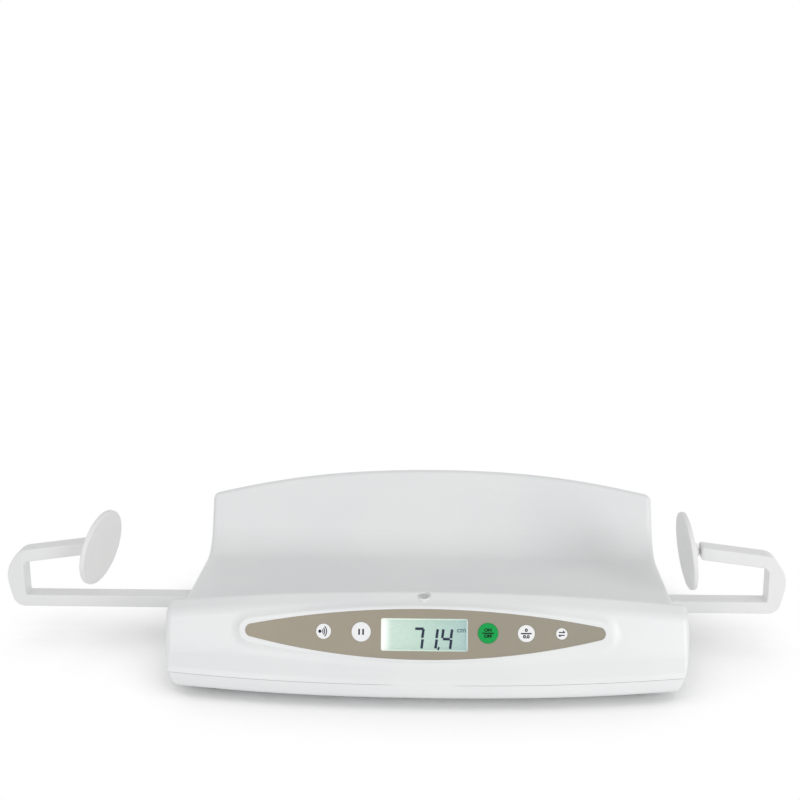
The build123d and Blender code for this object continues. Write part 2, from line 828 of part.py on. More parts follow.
# ---- Feet -------------------------------------------------------------------------------------
def foot_places():
    front = [(-foot_x, foot_front_y), (foot_x, foot_front_y)]
    return front + [(-foot_x, foot_back_y), (foot_x, foot_back_y)]


foot_names = ("front_left", "front_right", "back_left", "back_right")


def load_cell(place):
    x, y = place
    plate = RectangleRounded(cell_side, cell_side, cell_round)
    slot = Rectangle(cell_slot_side, cell_slot_side)
    slot -= Rectangle(cell_slot_side - 2 * cell_slot, cell_slot_side - 2 * cell_slot)
    slot -= Pos(0, cell_slot_side / 2) * Rectangle(cell_slot_side / 2, 3 * cell_slot)
    cell = Pos(x, y, cell_z) * extrude(plate - slot, amount=cell_thickness)
    cell += upright(cell_hub_radius, cell_hub_z, cell_hub_z + cell_hub_height, place)
    return cell - upright(stud_radius + turning_gap / 2, 0, stud_top_z + 5, place)


def foot_pad(place):
    pad = upright(pad_radius, 0, pad_height, place)
    pad = chamfer(pad.edges().group_by(Axis.Z)[0], 0.8)
    pad = fillet(pad.edges().group_by(Axis.Z)[-1], 0.8)
    return pad - upright(spigot_radius + turning_gap, spigot_z - 0.1, pad_height + 1, place)


def foot_stud(place):
    x, y = place
    stud = upright(stud_radius, wheel_z, stud_top_z, place)
    stud = chamfer(stud.edges().group_by(Axis.Z)[-1], 0.8)
    wheel = upright(wheel_radius, wheel_z, wheel_z + wheel_height, place)
    for number in range(wheel_notches):
        turn = 2 * pi * number / wheel_notches
        notch = (x + wheel_radius * cos(turn), y + wheel_radius * sin(turn))
        wheel -= upright(wheel_notch_radius, wheel_z - 1, wheel_z + wheel_height + 1, notch)
    return stud + wheel + upright(spigot_radius, spigot_z, wheel_z, place)


# ---- Batteries and power inlet ------------------------------------------------------------------
def battery_box():
    floor = underside_z + wall + 0.1
    length = door_length + 2 * battery_wall
    middle = (door_front_y + door_back_y) / 2
    depth = door_back_y - door_front_y + 2 * battery_wall + 2 * hinge_radius
    low = (Align.CENTER, Align.CENTER, Align.MIN)
    box = Pos(0, middle, floor) * Box(length + 4, depth + 4, battery_box_top_z - floor, align=low)
    box = fillet(box.edges().filter_by(Axis.Z), 2.5)
    room = Box(length + 4 - 2 * battery_wall, depth + 4 - 2 * battery_wall,
               battery_box_top_z - floor - battery_wall, align=low)
    return box - Pos(0, middle, floor) * room


def battery_places():
    middle = (door_front_y + door_back_y) / 2
    first = -(cell_count - 1) / 2 * cell_pitch
    return [(first + number * cell_pitch, middle) for number in range(cell_count)]


def battery_axis_z():
    return battery_box_top_z - battery_wall - cell_radius - 0.3


def batteries():
    cells = []
    for number, (x, y) in enumerate(battery_places()):
        facing = 1 if number % 2 else -1
        can = Rot(90, 0, 0) * Cylinder(cell_radius, cell_length)
        can = fillet(can.edges(), 0.8)
        nub = Pos(0, facing * (cell_length / 2 + 0.5), 0) * Rot(90, 0, 0) * Cylinder(2.7, 1.4)
        cells.append(Pos(x, y, battery_axis_z()) * (can + nub))
    return cells


def battery_contacts():
    """Bent leaf contacts against both walls of the battery box, two for each cell."""
    leaves = []
    middle = (door_front_y + door_back_y) / 2
    wall_y = (door_back_y - door_front_y) / 2 + hinge_radius + 2
    for x, _ in battery_places():
        for side in (-1, 1):
            y = middle + side * (wall_y - contact_thickness / 2)
            tip = middle + side * (cell_length / 2 + 1.5)
            z = battery_axis_z()
            path = Polyline((y, z - 6), (y, z + 5), (tip, z), (y - side * 1.2, z - 5))
            leaf = make_face(offset(path, contact_thickness / 2, kind=Kind.ARC, side=Side.BOTH))
            leaf = Pos(x - contact_width / 2, 0, 0) * extrude(ALONG_X * leaf, amount=contact_width)
            leaves.append(leaf)
    return leaves


def battery_door():
    mid_z = underside_z + hinge_radius
    depth = door_back_y - door_front_y
    plate = Pos(0, door_front_y, underside_z) * Box(
        door_length, depth, door_thickness, align=(Align.CENTER, Align.MIN, Align.MIN)
    )
    barrel = Pos(0, door_back_y, mid_z) * Rot(0, 90, 0) * Cylinder(hinge_radius, door_length)
    hook = Pos(0, door_front_y - 0.1, underside_z + door_thickness) * Box(
        latch_length, latch_reach, latch_reach, align=(Align.CENTER, Align.MIN, Align.MIN)
    )
    door = plate + barrel + Pos(0, 0, -0.2) * hook
    bore = Rot(0, 90, 0) * Cylinder(hinge_pin_radius + hinge_pin_gap, door_length + 2)
    return door - Pos(0, door_back_y, mid_z) * bore


def battery_door_pin():
    length = door_length + 2 * door_gap + 2 * hinge_pin_reach - 0.4
    pin = Rot(0, 90, 0) * Cylinder(hinge_pin_radius - 0.01, length)
    return Pos(0, door_back_y, underside_z + hinge_radius) * pin


def power_inlet():
    """Round socket for a mains adapter: flange in the back wall, body behind it."""
    out = jack_y()
    flange = Rot(90, 0, 0) * Cylinder(jack_flange_radius, wall + jack_flange)
    flange = Pos(jack_x, out - (wall + jack_flange) / 2 - 0.3, jack_z) * flange
    body = Box(jack_width, jack_length, jack_height)
    body = Pos(jack_x, out - wall - 1.3 - jack_length / 2, jack_z) * body
    bore = Rot(90, 0, 0) * Cylinder(jack_bore_radius, jack_length)
    bore = Pos(jack_x, out - jack_length / 2 + 1, jack_z) * bore
    pin = Rot(90, 0, 0) * Cylinder(jack_pin_radius, jack_length - 3)
    pin = Pos(jack_x, out - jack_length / 2 - 1.8, jack_z) * pin
    return flange + body - bore + pin


def case_screws():
    screws = []
    head_low = pillar_top_z - fit_gap - screw_shelf - screw_head_height
    for place in screw_places:
        head = upright(screw_head_radius, head_low, head_low + screw_head_height, place)
        head = fillet(head.edges().group_by(Axis.Z)[0], 1.0)
        head += upright(screw_radius - 0.12, head_low + 1, screw_tip_z, place)
        cross = Box(3.4, 0.8, 2) + Box(0.8, 3.4, 2)
        screws.append(head - Pos(place[0], place[1], head_low) * cross)
    return screws


# ---- All the pieces -----------------------------------------------------------------------------
def all_parts():
    body = case_body()
    hollow = case_hollow()
    parts = {
        "top_shell": top_shell(body, hollow),
        "bottom_cover": bottom_cover(body, hollow),
        "control_panel": control_panel(),
        "display_window": display_window(),
        "lcd_glass": lcd_glass(),
        "lcd_backlight": lcd_backlight(),
        "lcd_frame": lcd_frame(),
        "main_board": main_board(),
        "board_screws": board_screws(),
        "key_switches": key_switches(),
        "level_cup": level_cup(),
        "level_vial": level_vial(),
        "battery_box": battery_box(),
        "batteries": batteries(),
        "battery_contacts": battery_contacts(),
        "battery_door": battery_door(),
        "battery_door_pin": battery_door_pin(),
        "power_inlet": power_inlet(),
        "case_screws": case_screws(),
    }
    for name in keys:
        parts[name] = key(name)
    for side in ("left", "right"):
        parts["arm_bar_" + side] = arm_bar(side)
        parts["arm_bow_" + side] = bow_piece(side)
        parts["ball_stud_" + side] = ball_stud(side)
        parts["swivel_liner_" + side] = swivel_liner(side)
        parts["end_plate_" + side] = end_plate(side)
        parts["stop_pin_" + side] = stop_pin(side)
        parts["encoder_strip_" + side] = encoder_strip(side)
        parts["slide_rail_" + side] = slide_rail(side)
        parts["brake_pad_" + side] = brake_pad(side)
        parts["brake_spring_" + side] = brake_spring(side)
        parts["position_sensor_" + side] = position_sensor(side)
    for name, place in zip(foot_names, foot_places()):
        parts["load_cell_" + name] = load_cell(place)
        parts["foot_pad_" + name] = foot_pad(place)
        parts["foot_stud_" + name] = foot_stud(place)
    return parts


def solids_of(piece):
    """The separate solids of a piece, or of a list of pieces."""
    items = piece if isinstance(piece, list) else [piece]
    return [solid for item in items for solid in item.solids()]


def placed(parts):
    """Every piece moved so that the origin lies under the middle of the whole scale."""
    whole = {name: solids_of(piece) for name, piece in parts.items()}
    boxes = [solid.bounding_box() for solids in whole.values() for solid in solids]
    low_x = min(box.min.X for box in boxes)
    high_x = max(box.max.X for box in boxes)
    low_y = min(box.min.Y for box in boxes)
    high_y = max(box.max.Y for box in boxes)
    move = Pos(-(low_x + high_x) / 2, -(low_y + high_y) / 2, 0)
    moved = {}
    for name, solids in whole.items():
        solids = [move * solid for solid in solids]
        moved[name] = solids[0] if len(solids) == 1 else Compound(solids)
    return moved, move.position


if __name__ == "__main__":
    os.makedirs("parts", exist_ok=True)
    finished, shift = placed(all_parts())
    for name, piece in finished.items():
        export_step(piece, os.path.join("parts", name + ".step"))
    print("moved by", shift, "pieces", len(finished))
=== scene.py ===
from math import asin, atan2, cos, pi, radians, sin, sqrt

import bmesh
import bpy
from mathutils import Matrix, Vector
from mathutils.bvhtree import BVHTree


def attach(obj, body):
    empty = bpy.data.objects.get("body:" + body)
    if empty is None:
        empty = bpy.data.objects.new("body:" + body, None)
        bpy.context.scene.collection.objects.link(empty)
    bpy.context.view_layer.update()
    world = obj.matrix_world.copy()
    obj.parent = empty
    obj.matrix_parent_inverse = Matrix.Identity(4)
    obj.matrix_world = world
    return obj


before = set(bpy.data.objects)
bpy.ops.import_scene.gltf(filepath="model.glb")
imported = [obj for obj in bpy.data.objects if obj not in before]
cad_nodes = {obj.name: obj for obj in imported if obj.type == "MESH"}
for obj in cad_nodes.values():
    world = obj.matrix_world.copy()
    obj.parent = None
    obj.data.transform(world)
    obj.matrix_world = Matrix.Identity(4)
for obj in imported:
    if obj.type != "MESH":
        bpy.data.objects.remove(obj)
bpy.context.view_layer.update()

MM = 0.001

# ---- Where things are, in millimetres ----------------------------------------------------------
# The fascia leans back and is bowed outwards; heights on it are measured up its slope
FASCIA_MIDDLE = Vector((44.7, -163.916, 77.8))
FASCIA_LEAN = radians(22)
FASCIA_RADIUS = 1887.0
FASCIA_ACROSS = Vector((1, 0, 0))
FASCIA_UP = Vector((0, sin(FASCIA_LEAN), cos(FASCIA_LEAN)))
FASCIA_OUT = Vector((0, -cos(FASCIA_LEAN), sin(FASCIA_LEAN)))
# The keys' middles across the fascia, their height on it, and how far out their caps stand
KEYS = {"measure": -111.0, "hold": -69.2, "power": 70.3, "zero": 112.2, "unit": 151.1}
KEY_HEIGHT = 2.0
KEY_FACE = 0.3
# The display cell's face lies behind the fascia
LCD_FACE = -3.62
# Prints are drawn thicker than real ink, so that they are pieces of their own
LEGEND_THICKNESS = 0.12
# The spirit level: the middle of its vial's top, and how far it leans to the front
LEVEL_MIDDLE = Vector((44.7, -137.554, 111.405))
LEVEL_LEAN = radians(9)


# ---- Colours and nodes -------------------------------------------------------------------------
def colour(code, alpha=1.0):
    """A colour written as #RRGGBB, as the shaders take it."""
    channels = []
    for start in (1, 3, 5):
        value = int(code[start:start + 2], 16) / 255
        if value <= 0.04045:
            channels.append(value / 12.92)
        else:
            channels.append(((value + 0.055) / 1.055) ** 2.4)
    return (*channels, alpha)


def wire(tree, node, **sockets):
    """Fills a node's sockets; one that is given a node is linked to that node's first output."""
    for name, value in sockets.items():
        socket = node.inputs[int(name[1:]) if name[0] == "_" else name.replace("_", " ")]
        if isinstance(value, bpy.types.Node):
            value = value.outputs[0]
        if isinstance(value, bpy.types.NodeSocket):
            tree.links.new(value, socket)
        else:
            socket.default_value = value


def add_node(tree, kind, settings=None, **sockets):
    """Adds one shader node with its settings, values and links."""
    made = tree.nodes.new("ShaderNode" + kind)
    for name, value in (settings or {}).items():
        setattr(made, name, value)
    wire(tree, made, **sockets)
    return made


def set_stops(ramp, *stops):
    """Gives a colour ramp its stops, each a place from 0 to 1 and a colour."""
    elements = ramp.color_ramp.elements
    for element, (position, code) in zip(elements, (stops[0], stops[-1])):
        element.position = position
        element.color = colour(code)
    for position, code in stops[1:-1]:
        elements.new(position).color = colour(code)
    return ramp


def new_material(name):
    """An empty material with its surface shader and the coordinates its patterns are drawn on."""
    material = bpy.data.materials.new(name)
    material.use_nodes = True
    tree = material.node_tree
    tree.nodes.clear()
    shader = add_node(tree, "BsdfPrincipled")
    add_node(tree, "OutputMaterial", Surface=shader)
    place = add_node(tree, "TexCoord").outputs["Object"]
    return material, tree, shader, place


# ---- Materials ---------------------------------------------------------------------------------
# A noise's scale is the number of its lumps in a metre, so 1000 over their size in millimetres.
# Most of it lies between these two values, so they are stretched to the pattern's own ends
LOW, HIGH = 0.3, 0.7
MOST = {"From_Min": LOW, "From_Max": HIGH}

# Moulded plastic: its colour drifts over a hand's breadth, palms leave patches of another gloss,
# and the melt's flow leaves waves about 50 mm apart
TINT_MM, HANDLED_MM, WAVES_MM = 140, 70, 48
WAVES_DEPTH = 0.12
PLASTIC_IOR = 1.5


def moulded_plastic(name, first, second, gloss, rougher, grain_mm=0.5, grain_depth=0.01, shine=0.5):
    """Injection moulded plastic: faint cloudy colour, handled patches, flow waves, fine grain."""
    material, tree, shader, place = new_material(name)
    clouds = add_node(tree, "TexNoise", Vector=place, Scale=1000 / TINT_MM)
    tint = set_stops(add_node(tree, "ValToRGB", Fac=clouds), (LOW, first), (HIGH, second))
    palms = add_node(tree, "TexNoise", Vector=place, Scale=1000 / HANDLED_MM, Detail=1.0)
    handled = add_node(tree, "MapRange", Value=palms, To_Min=gloss, To_Max=rougher)
    flow = add_node(tree, "TexNoise", Vector=place, Scale=1000 / WAVES_MM, Detail=1.0)
    waves = add_node(tree, "Bump", Height=flow, Strength=0.25, Distance=WAVES_DEPTH * MM)
    specks = add_node(tree, "TexNoise", Vector=place, Scale=1000 / grain_mm)
    grain = add_node(
        tree, "Bump", Height=specks, Strength=0.5, Distance=grain_depth * MM, Normal=waves
    )
    wire(
        tree, shader, Base_Color=tint, Roughness=handled, Normal=grain,
        IOR=PLASTIC_IOR, Specular_IOR_Level=shine
    )
    return material


# Where the film's drift of colour starts and ends across the case, in metres
FILM_LEFT, FILM_RIGHT = -0.17, 0.26
FILM_CLOUD_MM, FILM_WEAR_MM, EMBOSS_MM = 30, 22, 0.28


def printed_film(name, first, second):
    """Polyester film: flat taupe, slightly darker to the right, under a fine satin emboss."""
    material, tree, shader, place = new_material(name)
    across = add_node(tree, "SeparateXYZ", Vector=place)
    drift = add_node(tree, "MapRange", Value=across, From_Min=FILM_LEFT, From_Max=FILM_RIGHT)
    lumps = add_node(tree, "TexNoise", Vector=place, Scale=1000 / FILM_CLOUD_MM)
    cloud = add_node(tree, "MapRange", Value=lumps, To_Min=-0.12, To_Max=0.12, **MOST)
    mixed = add_node(tree, "Math", {"operation": "ADD"}, _0=drift, _1=cloud)
    taupe = set_stops(add_node(tree, "ValToRGB", Fac=mixed), (0.0, first), (1.0, second))
    wear = add_node(tree, "TexNoise", Vector=place, Scale=1000 / FILM_WEAR_MM, Detail=3.0)
    satin = add_node(tree, "MapRange", Value=wear, To_Min=0.42, To_Max=0.5, **MOST)
    beads = add_node(tree, "TexNoise", Vector=place, Scale=1000 / EMBOSS_MM, Detail=1.0)
    emboss = add_node(tree, "Bump", Height=beads, Strength=0.6, Distance=0.012 * MM)
    wire(tree, shader, Base_Color=taupe, Roughness=satin, Normal=emboss)
    return material


# The display cell's ends across the case, in metres, and its mint from the left end: near white at
# first, a painted highlight, then darker towards the right
CELL_LEFT, CELL_RIGHT = -0.003, 0.094
CELL_MINT_AND_HIGHLIGHT = (
    (0.0, "#F8FCF5"), (0.05, "#EDF6EE"), (0.13, "#D6EDE1"),
    (0.42, "#CBE6D8"), (0.86, "#B6D6CE"), (0.985, "#AFD1D1"),
)
# The cell's edges get a painted glow that lightens the shade the window's recess casts on them,
# and a painted highlight at the left end. Each glow has its two ends in metres, up the fascia's
# slope from its middle or across the case, and its strength at each end
CELL_PAINTED_GLOWS = (
    ("up", 0.0150, 0.0168, 0.0, 0.5),
    ("up", -0.0178, -0.0162, 0.35, 0.0),
    ("across", -0.004, 0.008, 0.5, 0.0),
    ("across", 0.0905, 0.0925, 0.0, 0.45),
)


def display_cell(name):
    """Reflective liquid crystal cell: mint, with painted highlight on the left and painted glow at
    its edges.
    """
    material, tree, shader, place = new_material(name)
    across = add_node(tree, "SeparateXYZ", Vector=place)
    along = add_node(tree, "MapRange", Value=across, From_Min=CELL_LEFT, From_Max=CELL_RIGHT)
    # The pale left end of the mint is a painted highlight
    mint_and_highlight = set_stops(add_node(tree, "ValToRGB", Fac=along), *CELL_MINT_AND_HIGHLIGHT)
    slope = add_node(tree, "VectorMath", {"operation": "DOT_PRODUCT"}, _0=place, _1=FASCIA_UP)
    middle = FASCIA_UP.dot(FASCIA_MIDDLE) * MM
    ways = {"up": (slope.outputs["Value"], middle), "across": (across.outputs["X"], 0.0)}
    # Painted glow: emission that lightens the edges where the window's recess shades them
    painted_glow = None
    for way, start, end, at_start, at_end in CELL_PAINTED_GLOWS:
        spot, origin = ways[way]
        edge = add_node(
            tree, "MapRange", Value=spot, From_Min=origin + start, From_Max=origin + end,
            To_Min=at_start, To_Max=at_end
        )
        painted_glow = add_node(tree, "Math", {"operation": "MAXIMUM"}, _0=painted_glow, _1=edge) if painted_glow else edge
    smears = add_node(tree, "TexNoise", Vector=place, Scale=1000 / 6)
    wiped = add_node(tree, "MapRange", Value=smears, To_Min=0.22, To_Max=0.3, **MOST)
    rubbing = add_node(tree, "TexNoise", Vector=place, Scale=1000 / 0.35)
    fine = add_node(tree, "Bump", Height=rubbing, Strength=0.4, Distance=0.004 * MM)
    # The emission carries the painted glow at the cell's edges
    wire(
        tree, shader, Base_Color=mint_and_highlight, Roughness=wiped, Normal=fine,
        Emission_Color=colour("#EEF8F0"), Emission_Strength=painted_glow
    )
    return material


def clear_plastic(name, tint, alpha, roughness=0.06):
    """Clear acrylic, thin enough that it hardly colours what is behind it."""
    material, tree, shader, place = new_material(name)
    smears = add_node(tree, "TexNoise", Vector=place, Scale=1000 / 14, Detail=3.0)
    wiped = add_node(
        tree, "MapRange", Value=smears, To_Min=roughness, To_Max=roughness + 0.05, **MOST
    )
    sink = add_node(tree, "TexNoise", Vector=place, Scale=1000 / 30)
    swell = add_node(tree, "Bump", Height=sink, Strength=0.2, Distance=0.02 * MM)
    wire(tree, shader, Base_Color=colour(tint), Alpha=alpha, Roughness=wiped, Normal=swell)
    return material


# How much paler a print is where its ink lies thin, out of 255
THIN_INK = 10


def ink(name, code, roughness=0.5):
    """Screen printed ink, matt and a little uneven."""
    material, tree, shader, place = new_material(name)
    channels = [int(code[start:start + 2], 16) + THIN_INK for start in (1, 3, 5)]
    paler = "#%02X%02X%02X" % tuple(min(255, channel) for channel in channels)
    patches = add_node(tree, "TexNoise", Vector=place, Scale=1000 / 0.8)
    cover = set_stops(add_node(tree, "ValToRGB", Fac=patches), (LOW, code), (HIGH, paler))
    threads = add_node(tree, "TexNoise", Vector=place, Scale=1000 / 0.2)
    screen = add_node(tree, "Bump", Height=threads, Strength=0.4, Distance=0.01 * MM)
    wire(
        tree, shader, Base_Color=cover, Roughness=roughness, Normal=screen,
        Specular_IOR_Level=0.15
    )
    return material


def metal(name, first, second, smooth, rough, stretch=(1, 1, 1), lines_mm=0.4):
    """Worked metal with fine lines, drawn out along one axis."""
    material, tree, shader, place = new_material(name)
    films = add_node(tree, "TexNoise", Vector=place, Scale=1000 / 9, Detail=3.0)
    bloom = set_stops(add_node(tree, "ValToRGB", Fac=films), (LOW, first), (HIGH, second))
    drawn = add_node(tree, "Mapping", Vector=place, Scale=stretch)
    lines = add_node(tree, "TexNoise", Vector=drawn, Scale=1000 / lines_mm)
    gloss = add_node(tree, "MapRange", Value=lines, To_Min=smooth, To_Max=rough, **MOST)
    scored = add_node(tree, "Bump", Height=lines, Strength=0.5, Distance=0.01 * MM)
    wire(tree, shader, Base_Color=bloom, Metallic=1.0, Roughness=gloss, Normal=scored)
    return material


def soft_rubber(name, first, second):
    """Moulded rubber: matt, pitted, a little dusty in patches."""
    material, tree, shader, place = new_material(name)
    patches = add_node(tree, "TexNoise", Vector=place, Scale=1000 / 7, Detail=4.0)
    dust = set_stops(add_node(tree, "ValToRGB", Fac=patches), (LOW, first), (HIGH, second))
    scuffs = add_node(tree, "TexNoise", Vector=place, Scale=1000 / 5)
    matt = add_node(tree, "MapRange", Value=scuffs, To_Min=0.62, To_Max=0.85, **MOST)
    holes = add_node(tree, "TexNoise", Vector=place, Scale=1000 / 0.5, Detail=3.0)
    pits = add_node(tree, "Bump", Height=holes, Strength=0.6, Distance=0.06 * MM)
    wire(tree, shader, Base_Color=dust, Roughness=matt, Normal=pits)
    return material


def wool_felt(name, first, second):
    """Pressed felt: tangled fibres, no shine but a soft sheen at the edges."""
    material, tree, shader, place = new_material(name)
    combed = add_node(tree, "Mapping", Vector=place, Scale=(0.25, 1, 1))
    fibres = add_node(
        tree, "TexNoise", Vector=combed, Scale=1000 / 0.35, Detail=5.0, Roughness=0.7
    )
    greys = set_stops(add_node(tree, "ValToRGB", Fac=fibres), (LOW, first), (HIGH, second))
    tangle = add_node(tree, "Bump", Height=fibres, Strength=0.8, Distance=0.2 * MM)
    wire(tree, shader, Base_Color=greys, Roughness=0.95, Sheen_Weight=0.4, Normal=tangle)
    return material


def solder_resist(name, first, second):
    """Green lacquer over copper: tracks show as faint raised lines."""
    material, tree, shader, place = new_material(name)
    tracks = add_node(
        tree, "TexBrick", {"offset": 0.5}, Vector=place, Scale=120.0, Mortar_Size=0.03,
        Color1=colour(first), Color2=colour(first), Mortar=colour(second)
    )
    runs = add_node(tree, "TexNoise", Vector=place, Scale=1000 / 12)
    lacquer = add_node(tree, "MapRange", Value=runs, To_Min=0.22, To_Max=0.34, **MOST)
    raised = add_node(
        tree, "Bump", Height=tracks.outputs["Fac"], Strength=0.5, Distance=0.03 * MM
    )
    wire(tree, shader, Base_Color=tracks, Roughness=lacquer, Normal=raised)
    return material


def scale_strip(name, first, second, pitch_mm=2.0):
    """Film strip with bars at an even pitch, which the position sensor reads."""
    material, tree, shader, place = new_material(name)
    bars = add_node(
        tree, "TexWave", {"wave_type": "BANDS", "bands_direction": "X"},
        Vector=place, Scale=1000 / pitch_mm / 10
    )
    ramp = add_node(tree, "ValToRGB", Fac=bars.outputs["Fac"])
    edges = set_stops(ramp, (0.48, first), (0.52, second))
    rubbed = add_node(tree, "TexNoise", Vector=place, Scale=1000 / 8)
    worn = add_node(tree, "MapRange", Value=rubbed, To_Min=0.3, To_Max=0.45, **MOST)
    wire(tree, shader, Base_Color=edges, Roughness=worn)
    return material


# ABS of the case, moulded in a finely blasted tool: a cool white with a wide soft shine. The real
# grain is a few hundredths of a millimetre, drawn 0.45 mm wide so that it shows
case_white = moulded_plastic("white_abs_case", "#EBEDEE", "#F0F1F1", 0.27, 0.36, 0.45, 0.008)
# ABS of the measuring arms, moulded: a plain white, polished in patches where hands hold it
arm_white = moulded_plastic("white_abs_arm", "#E9EAEA", "#EFEFEF", 0.26, 0.38, 0.45, 0.008)
# ABS of the end plates, moulded in a rougher tool: satin, with hardly a reflection
plate_white = moulded_plastic("white_abs_plate", "#ECEDEC", "#F1F1F0", 0.36, 0.46, 0.4, 0.01)
# Printed polyester film, embossed: flat taupe without glare, its emboss drawn 0.28 mm wide
panel_film = printed_film("taupe_polyester_film", "#A49A88", "#9A9485")
# Liquid crystal cell of polished glass: pale mint, with a painted highlight at its left end and
# painted glow at its edges
mint_cell = display_cell("liquid_crystal_cell")
# Crystal segments that are switched on: navy, nearly black
segment_navy = ink("crystal_segment_navy", "#00173A", 0.4)
# The unit's mark in the cell, driven weaker: slate
segment_grey = ink("crystal_mark_slate", "#3F5F68", 0.4)
# Cast acrylic window, polished: nearly invisible but for its gloss
clear_lens = clear_plastic("clear_acrylic_lens", "#F4F8F6", 0.035)
# ABS of the white keys, moulded smooth: the brightest white on the panel
key_white = moulded_plastic("white_abs_key", "#F3F4F5", "#F7F7F8", 0.3, 0.38, 0.3, 0.006)
# Through-dyed ABS of the power key, moulded: deep green with little glare
key_green = moulded_plastic(
    "green_abs_key", "#0A9C48", "#12A650", 0.36, 0.44, 0.3, 0.006, 0.2
)
# Pad printed inks, matt: blue-black on the white keys, black on the green one
legend_ink = ink("legend_ink_blue_black", "#12132A")
legend_black = ink("legend_ink_black", "#03100A")
# The level's spirit in a polished clear vial: glossy grey
level_liquid = moulded_plastic(
    "level_liquid_grey", "#C2C8C5", "#C9CFCC", 0.06, 0.1, 0.6, 0.002, 0.6
)
# Air in the level: a paler, half clear spot
level_bubble = clear_plastic("level_air_bubble", "#EFF4F2", 0.55, 0.04)
# Acrylic light guide behind the display, moulded: milky, faintly green at depth
light_guide = moulded_plastic("acrylic_light_guide", "#E1ECE4", "#E8F0EA", 0.3, 0.4, 0.3, 0.01)
# Undyed ABS of inner parts, moulded in an unpolished tool: dull and greyer than the case
inner_abs = moulded_plastic("natural_abs_inner", "#CBCBC8", "#D2D2CF", 0.42, 0.52, 0.6, 0.02)
# Acetal of the ball studs, turned and tumbled: waxy white
ball_acetal = moulded_plastic("white_acetal_ball", "#E6E6E3", "#ECECE9", 0.3, 0.4, 0.4, 0.008)
# Grey acetal of the slide rails, moulded: waxy and satin
rail_acetal = moulded_plastic("grey_acetal_rail", "#B4B4B2", "#BBBBB9", 0.36, 0.46, 0.5, 0.01)
# Glass filled nylon of switches and inlet, moulded: dull black
black_nylon = moulded_plastic("black_nylon", "#121214", "#19191B", 0.42, 0.55, 0.4, 0.02)
# Lacquered circuit board: glossy green with raised tracks
board_green = solder_resist("green_solder_resist", "#1C5A38", "#2C7148")
# Zinc plated steel of the screws, barrel plated: bright blue-grey
zinc_steel = metal("zinc_plated_steel", "#B4B6B8", "#A6A8AC", 0.22, 0.38)
# Turned steel of pins and foot studs: bright, with fine lines
turned_steel = metal("turned_steel", "#BBBDBF", "#AEB0B3", 0.2, 0.36, (1, 1, 0.1))
# Machined aluminium of the load cells: paler and duller, with lines across the scale
cell_alloy = metal("machined_aluminium", "#C6C8CA", "#BBBDC0", 0.28, 0.42, (0.1, 1, 1))
# Rolled brass strip, nickel plated, of contacts and brake springs: warm grey with fine lines
spring_metal = metal("nickel_plated_brass", "#C9C5BA", "#BDB8AB", 0.18, 0.32, (0.1, 1, 1))
# Moulded rubber of the foot pads: matt dark grey
foot_rubber = soft_rubber("dark_grey_rubber", "#2A2A2C", "#333335")
# Pressed felt of the brakes: fibres, no shine
brake_felt = wool_felt("pressed_felt", "#4F4F52", "#66666A")
# Printed film under each bar: dark bars that the sensor counts
strip_film = scale_strip("printed_scale_film", "#26262A", "#B9BBBD")
# Shrunk sleeve of the cells in the battery box: smooth plain grey
cell_sleeve = moulded_plastic("shrink_sleeve_grey", "#AEB2B8", "#BABEC3", 0.2, 0.3, 0.8, 0.01)

FINISHES = {
    case_white: ("top_shell", "bottom_cover", "battery_door", "level_cup"),
    arm_white: ("arm_bar_left", "arm_bar_right", "arm_bow_left", "arm_bow_right"),
    plate_white: ("end_plate_left", "end_plate_right"),
    panel_film: ("control_panel",),
    mint_cell: ("lcd_glass",),
    clear_lens: ("display_window",),
    light_guide: ("lcd_backlight",),
    key_white: ("button_measure", "button_hold", "button_zero", "button_unit"),
    key_green: ("button_power",),
    level_liquid: ("level_vial",),
    inner_abs: ("lcd_frame", "battery_box", "swivel_liner_left", "swivel_liner_right"),
    rail_acetal: ("slide_rail_left", "slide_rail_right"),
    black_nylon: ("key_switches", "power_inlet", "position_sensor_left", "position_sensor_right"),
    board_green: ("main_board",),
    zinc_steel: ("board_screws", "case_screws"),
    turned_steel: ("battery_door_pin", "stop_pin_left", "stop_pin_right"),
    spring_metal: ("battery_contacts", "brake_spring_left", "brake_spring_right"),
    brake_felt: ("brake_pad_left", "brake_pad_right"),
    strip_film: ("encoder_strip_left", "encoder_strip_right"),
    cell_sleeve: ("batteries",),
}
FOOT_FINISHES = {"foot_pad_": foot_rubber, "foot_stud_": turned_steel, "load_cell_": cell_alloy}


def dress(name, material):
    """Gives a CAD node its finish."""
    slots = cad_nodes[name].data.materials
    slots.clear()
    slots.append(material)


for material, names in FINISHES.items():
    for name in names:
        dress(name, material)
for name in cad_nodes:
    for start, material in FOOT_FINISHES.items():
        if name.startswith(start):
            dress(name, material)
for side in ("left", "right"):
    dress("ball_stud_" + side, ball_acetal)


# ---- Making pieces -----------------------------------------------------------------------------
def nothing_selected():
    """Deselects everything, so that an operator acts on one piece only."""
    if bpy.context.object and bpy.context.object.mode != "OBJECT":
        bpy.ops.object.mode_set(mode="OBJECT")
    bpy.ops.object.select_all(action="DESELECT")


def only(piece):
    """Makes one piece the selected and active one."""
    nothing_selected()
    piece.select_set(True)
    bpy.context.view_layer.objects.active = piece


def take(piece, name, material):
    """Names a new piece and gives it its material."""
    piece.name = name
    piece.data.name = name
    piece.data.materials.clear()
    piece.data.materials.append(material)
    return piece


def settle(piece, place):
    """Moves a piece's mesh to its place and leaves its object at the origin."""
    piece.data.transform(place @ piece.matrix_basis)
    piece.matrix_basis = Matrix.Identity(4)
    return piece


def joined(pieces, name):
    """Several flat marks made into one piece."""
    only(pieces[0])
    for piece in pieces[1:]:
        piece.select_set(True)
    if len(pieces) > 1:
        bpy.ops.object.join()
    pieces[0].name = name
    pieces[0].data.name = name
    return pieces[0]


